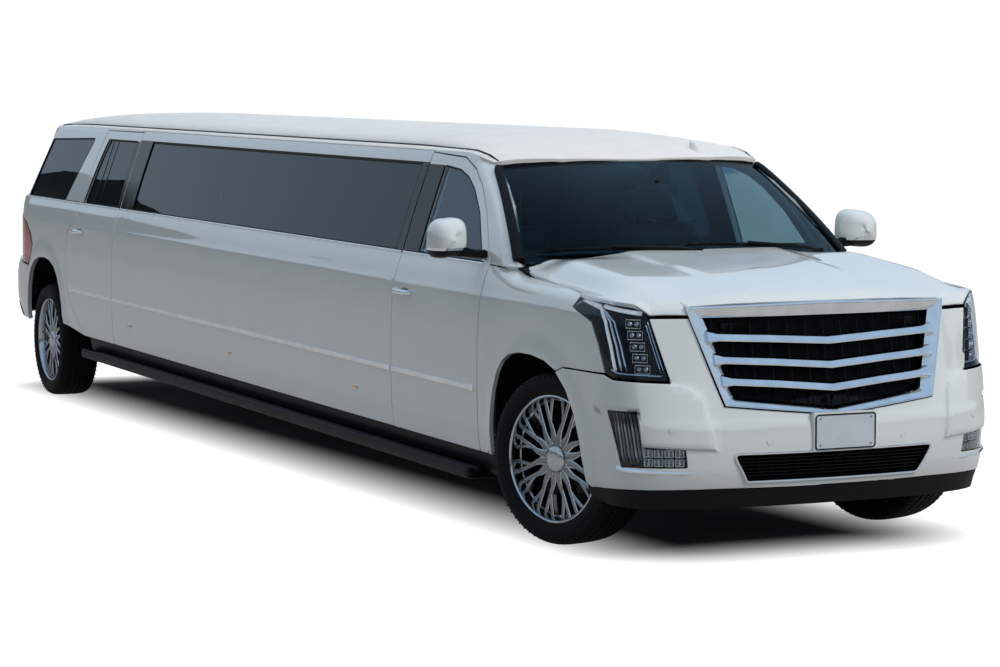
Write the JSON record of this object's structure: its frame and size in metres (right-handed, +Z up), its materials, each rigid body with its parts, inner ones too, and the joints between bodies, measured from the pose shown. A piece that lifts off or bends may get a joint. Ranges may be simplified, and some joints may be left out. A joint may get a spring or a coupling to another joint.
{
  "type": "stretch limousine",
  "caption": "Stretched SUV limousine with hinged side doors, long side windows, opening hood and liftgate, steered front wheels and a furnished passenger cabin.",
  "frame": {"origin": "bottom centre of the overall box, on the ground under the middle of the vehicle", "axes": "+Z up, the nose faces -Y, the vehicle's left side faces +X"},
  "size_m": [2.524, 10.792, 2.0373],
  "materials": {
    "pearl_white_paint": "gloss pearl",
    "white_roof_skin": "satin",
    "tinted_side_glass": "tinted",
    "laminated_screen_glass": "tinted",
    "chromed_trim": "polished",
    "moulded_black_plastic": "grained",
    "lamp_lens": "clear",
    "red_lamp_lens": "red",
    "cast_alloy_wheel": "painted silver",
    "tyre_rubber": "moulded",
    "chassis_black_paint": "satin",
    "cast_iron_hub": "machined",
    "steel_exhaust": "rolled",
    "cast_engine_block": "cast",
    "carpeted_floor": "loop pile",
    "black_leather": "grained",
    "dashboard_plastic": "grained",
    "lacquered_cabinet": "lacquered",
    "blank_plate_metal": "plain enamel"
  },
  "bodies": {
    "body": {"arch_liners": "moulded_black_plastic", "bar_cabinet": "lacquered_cabinet", "bulkhead": "chassis_black_paint", "chassis_frame": "chassis_black_paint", "dashboard": "dashboard_plastic", "engine_block": "cast_engine_block", "exhaust": "steel_exhaust", "floor_pan": "carpeted_floor", "front_bumper": "pearl_white_paint", "front_plate": "blank_plate_metal", "front_seats": "black_leather", "front_suspension": "chassis_black_paint", "front_wings": "pearl_white_paint", "fuel_tank": "chassis_black_paint", "grille": "chromed_trim", "headlights": "lamp_lens", "lower_valance": "moulded_black_plastic", "partition": "lacquered_cabinet", "propshaft": "chassis_black_paint", "quarter_panels": "pearl_white_paint", "radiator_and_aprons": "chassis_black_paint", "rear_axle": "chassis_black_paint", "rear_bumper": "pearl_white_paint", "rear_corner_posts": "pearl_white_paint", "rear_seat": "black_leather", "roof_panel": "white_roof_skin", "running_boards": "moulded_black_plastic", "side_bench": "black_leather", "side_windows": "tinted_side_glass", "stretch_panels": "pearl_white_paint", "tail_lights": "red_lamp_lens", "window_frames": "pearl_white_paint", "windshield": "laminated_screen_glass"},
    "front_door_left": {"front_door_left": "pearl_white_paint", "front_door_glass_left": "tinted_side_glass", "door_mirror_left": "chromed_trim"},
    "front_door_right": {"front_door_right": "pearl_white_paint", "front_door_glass_right": "tinted_side_glass", "door_mirror_right": "chromed_trim"},
    "rear_door_left": {"rear_door_left": "pearl_white_paint", "rear_door_glass_left": "tinted_side_glass"},
    "rear_door_right": {"rear_door_right": "pearl_white_paint", "rear_door_glass_right": "tinted_side_glass"},
    "hood_lid": {"hood": "pearl_white_paint"},
    "liftgate_lid": {"liftgate": "pearl_white_paint", "liftgate_glass": "tinted_side_glass", "rear_plate": "blank_plate_metal"},
    "steer_left": {"knuckle_left": "cast_iron_hub"},
    "steer_right": {"knuckle_right": "cast_iron_hub"},
    "wheel_front_left": {"rim_front_left": "cast_alloy_wheel", "tyre_front_left": "tyre_rubber"},
    "wheel_front_right": {"rim_front_right": "cast_alloy_wheel", "tyre_front_right": "tyre_rubber"},
    "wheel_rear_left": {"rim_rear_left": "cast_alloy_wheel", "tyre_rear_left": "tyre_rubber"},
    "wheel_rear_right": {"rim_rear_right": "cast_alloy_wheel", "tyre_rear_right": "tyre_rubber"},
    "steering_wheel": {"steering_wheel": "dashboard_plastic"}
  },
  "joints": [
    {"name": "front_door_left_hinge", "type": "hinge", "parent": "body", "child": "front_door_left", "pos_m": [1.0285, -3.68561, 0.81304], "axis": [0, 0.0187, -0.9998], "range_deg": [0, 66]},
    {"name": "rear_door_left_hinge", "type": "hinge", "parent": "body", "child": "rear_door_left", "pos_m": [1.0285, 2.36133, 0.92598], "axis": [0, 0.0187, -0.9998], "range_deg": [0, 66]},
    {"name": "front_door_right_hinge", "type": "hinge", "parent": "body", "child": "front_door_right", "pos_m": [-1.0285, -3.68561, 0.81304], "axis": [0, -0.0187, 0.9998], "range_deg": [0, 66]},
    {"name": "rear_door_right_hinge", "type": "hinge", "parent": "body", "child": "rear_door_right", "pos_m": [-1.0285, 2.36133, 0.92598], "axis": [0, -0.0187, 0.9998], "range_deg": [0, 66]},
    {"name": "hood_hinge", "type": "hinge", "parent": "body", "child": "hood_lid", "pos_m": [0, -4.03977, 1.35352], "axis": [-1, 0, 0], "range_deg": [0, 48]},
    {"name": "liftgate_hinge", "type": "hinge", "parent": "body", "child": "liftgate_lid", "pos_m": [0, 4.83855, 2.00843], "axis": [1, 0, 0], "range_deg": [0, 84]},
    {"name": "steer_left", "type": "hinge", "parent": "body", "child": "steer_left", "pos_m": [0.7675, -4.38002, 0.404], "axis": [0, 0, 1], "range_deg": [-50, 14]},
    {"name": "steer_right", "type": "hinge", "parent": "body", "child": "steer_right", "pos_m": [-0.7675, -4.38002, 0.404], "axis": [0, 0, 1], "range_deg": [-50, 14]},
    {"name": "steering_wheel_turn", "type": "hinge", "parent": "body", "child": "steering_wheel", "pos_m": [0.4, -3.28877, 1.14651], "axis": [0, 0.9132, 0.4074], "range_deg": [-751, 211]},
    {"name": "wheel_front_left_spin", "type": "hinge", "parent": "steer_left", "child": "wheel_front_left", "pos_m": [0.86736, -4.34757, 0.404], "axis": [0.9511, 0.309, 0], "continuous": true},
    {"name": "wheel_front_right_spin", "type": "hinge", "parent": "steer_right", "child": "wheel_front_right", "pos_m": [-0.86736, -4.41247, 0.404], "axis": [0.9511, 0.309, 0], "continuous": true},
    {"name": "wheel_rear_left_spin", "type": "hinge", "parent": "body", "child": "wheel_rear_left", "pos_m": [0.8725, 4.00198, 0.404], "axis": [1, 0, 0], "continuous": true},
    {"name": "wheel_rear_right_spin", "type": "hinge", "parent": "body", "child": "wheel_rear_right", "pos_m": [-0.8725, 4.00198, 0.404], "axis": [1, 0, 0], "continuous": true}
  ],
  "couplings": [
    {"joint": "steer_right", "follows": "steer_left", "ratio": 1},
    {"joint": "steering_wheel_turn", "follows": "steer_left", "ratio": 15}
  ]
}
